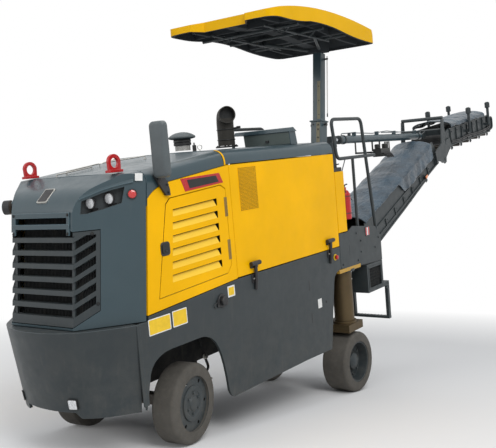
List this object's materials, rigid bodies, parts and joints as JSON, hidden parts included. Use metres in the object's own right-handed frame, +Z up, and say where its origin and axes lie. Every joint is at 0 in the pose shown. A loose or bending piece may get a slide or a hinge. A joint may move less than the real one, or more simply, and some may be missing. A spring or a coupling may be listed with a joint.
{
  "type": "wheeled cold planer milling machine",
  "caption": "Compact rear-loading cold planer that mills asphalt, raised on its rear lifting legs, with canopy, steered front wheels and a folding, swinging discharge conveyor.",
  "frame": {"origin": "on the ground, under the middle of the machine's bounding box", "axes": "+X to the machine's left, -Y towards its front, +Y towards the conveyor's discharge end, +Z up"},
  "size_m": [1.568, 8.9003, 3.7473],
  "materials": {
    "slate_paint": "satin",
    "slate_light_paint": "satin",
    "yellow_paint": "gloss",
    "canopy_yellow": "satin",
    "red_paint": "gloss",
    "black_paint": "satin",
    "solid_tyre": "dusty",
    "belt_rubber": "matt",
    "tarpaulin": "coated",
    "cast_iron": "rough",
    "ochre_steel": "dusty",
    "chrome_rod": "polished"
  },
  "bodies": {
    "chassis": {"main_frame": "slate_paint", "front_axle": "cast_iron", "engine_block": "cast_iron", "belly_tank": "slate_paint", "drum_housing": "slate_paint", "side_plate_left": "slate_paint", "side_plate_right": "slate_paint", "front_skirt": "slate_paint", "nose_shell": "slate_light_paint", "front_grille": "slate_paint", "hood_top_front": "slate_light_paint", "hood_top_rear": "slate_light_paint", "side_surround_left": "yellow_paint", "side_surround_right": "yellow_paint", "rear_bulkhead": "yellow_paint", "platform": "slate_paint", "guard_rail_left": "slate_paint", "guard_rail_right": "slate_paint", "rear_box": "slate_paint", "rear_step": "slate_paint", "mast_sleeve": "slate_light_paint", "exhaust": "black_paint", "precleaner": "black_paint", "mirror_left": "black_paint", "side_lamp": "black_paint", "lifting_ring_left": "red_paint", "lifting_ring_right": "red_paint", "fire_extinguisher": "red_paint", "swing_barrel": "slate_light_paint"},
    "drum": {"milling_drum": "cast_iron"},
    "knuckle_left": {"knuckle_left": "cast_iron"},
    "front_wheel_left": {"front_tyre_left": "solid_tyre", "front_rim_left": "slate_paint"},
    "knuckle_right": {"knuckle_right": "cast_iron"},
    "front_wheel_right": {"front_tyre_right": "solid_tyre", "front_rim_right": "slate_paint"},
    "leg_left": {"rear_leg_left": "ochre_steel"},
    "rear_wheel_left": {"rear_tyre_left": "solid_tyre", "rear_rim_left": "slate_paint"},
    "leg_right": {"rear_leg_right": "ochre_steel"},
    "rear_wheel_right": {"rear_tyre_right": "solid_tyre", "rear_rim_right": "slate_paint"},
    "mast": {"mast_post": "slate_light_paint", "canopy": "canopy_yellow"},
    "door_left": {"louvre_door_left": "yellow_paint"},
    "door_right": {"louvre_door_right": "yellow_paint"},
    "cover_left": {"rear_cover_left": "yellow_paint"},
    "cover_right": {"rear_cover_right": "yellow_paint"},
    "yoke": {"slew_yoke": "slate_paint"},
    "boom": {"boom_frame": "slate_paint", "boom_belt": "belt_rubber", "boom_tarp": "tarpaulin"},
    "head": {"head_frame": "slate_paint", "head_belt": "belt_rubber", "head_tarp": "tarpaulin"},
    "lift_barrel": {"lift_barrel": "slate_light_paint"},
    "lift_rod": {"lift_rod": "chrome_rod"},
    "swing_rod": {"swing_rod": "chrome_rod"}
  },
  "joints": [
    {"name": "steer_left", "type": "hinge", "parent": "chassis", "child": "knuckle_left", "pos_m": [0.415, -3.4505, 0.3], "axis": [0, 0, 1], "range_deg": [-38.5, 21.4]},
    {"name": "front_wheel_left_spin", "type": "hinge", "parent": "knuckle_left", "child": "front_wheel_left", "pos_m": [0.5129, -3.43578, 0.3], "axis": [0.9889, 0.1487, 0], "continuous": true},
    {"name": "leg_left_slide", "type": "slide", "parent": "chassis", "child": "leg_left", "axis": [0, -0.148, 0.989], "range_m": [0, 0.28]},
    {"name": "rear_wheel_left_spin", "type": "hinge", "parent": "leg_left", "child": "rear_wheel_left", "pos_m": [0.5115, -0.89436, 0.3], "axis": [1, 0, 0], "continuous": true},
    {"name": "steer_right", "type": "hinge", "parent": "chassis", "child": "knuckle_right", "pos_m": [-0.415, -3.4505, 0.3], "axis": [0, 0, 1], "range_deg": [-38.5, 21.4]},
    {"name": "front_wheel_right_spin", "type": "hinge", "parent": "knuckle_right", "child": "front_wheel_right", "pos_m": [-0.5129, -3.46522, 0.3], "axis": [0.9889, 0.1487, 0], "continuous": true},
    {"name": "leg_right_slide", "type": "slide", "parent": "chassis", "child": "leg_right", "axis": [0, -0.148, 0.989], "range_m": [0, 0.28]},
    {"name": "rear_wheel_right_spin", "type": "hinge", "parent": "leg_right", "child": "rear_wheel_right", "pos_m": [-0.5115, -0.89436, 0.3], "axis": [1, 0, 0], "continuous": true},
    {"name": "drum_spin", "type": "hinge", "parent": "chassis", "child": "drum", "pos_m": [0, -1.70879, 0.82351], "axis": [1, 0, 0], "continuous": true},
    {"name": "mast_slide", "type": "slide", "parent": "chassis", "child": "mast", "axis": [0, 0, 1], "range_m": [-0.55, 0]},
    {"name": "louvre_door_left_hinge", "type": "hinge", "parent": "chassis", "child": "door_left", "pos_m": [0.642, -3.05842, 1.57203], "axis": [0, -0.148, 0.989], "range_deg": [0, 85]},
    {"name": "louvre_door_right_hinge", "type": "hinge", "parent": "chassis", "child": "door_right", "pos_m": [-0.642, -3.05842, 1.57203], "axis": [0, -0.148, 0.989], "range_deg": [-85, 0]},
    {"name": "rear_cover_left_hinge", "type": "hinge", "parent": "chassis", "child": "cover_left", "pos_m": [0.642, -2.24815, 2.22512], "axis": [0, 0.989, 0.148], "range_deg": [-80, 0]},
    {"name": "rear_cover_right_hinge", "type": "hinge", "parent": "chassis", "child": "cover_right", "pos_m": [-0.642, -2.24815, 2.22512], "axis": [0, 0.989, 0.148], "range_deg": [0, 80]},
    {"name": "conveyor_swing", "type": "hinge", "parent": "chassis", "child": "yoke", "pos_m": [0, -0.18855, 1.49588], "axis": [0, -0.148, 0.989], "range_deg": [-28, 28]},
    {"name": "conveyor_lift", "type": "hinge", "parent": "yoke", "child": "boom", "pos_m": [0, -0.09834, 1.41332], "axis": [1, 0, 0], "range_deg": [-12, 3]},
    {"name": "conveyor_fold", "type": "hinge", "parent": "boom", "child": "head", "pos_m": [0, 2.31556, 2.66127], "axis": [1, 0, 0], "range_deg": [-60, 8]},
    {"name": "lift_barrel_pivot", "type": "hinge", "parent": "boom", "child": "lift_barrel", "pos_m": [0, 2.18271, 2.98821], "axis": [1, 0, 0], "range_deg": [-1, 1]},
    {"name": "lift_rod_slide", "type": "slide", "parent": "lift_barrel", "child": "lift_rod", "axis": [0, -0.9909, -0.1343], "range_m": [-0.08, 0.3]},
    {"name": "swing_rod_slide", "type": "slide", "parent": "chassis", "child": "swing_rod", "axis": [0, 0.989, 0.148], "range_m": [-0.14, 0.14]}
  ],
  "couplings": [
    {"joint": "lift_barrel_pivot", "follows": "conveyor_lift", "ratio": -0.05},
    {"joint": "lift_rod_slide", "follows": "conveyor_lift", "m_per_rad": -1.245},
    {"joint": "swing_rod_slide", "follows": "conveyor_swing", "m_per_rad": -0.275}
  ]
}
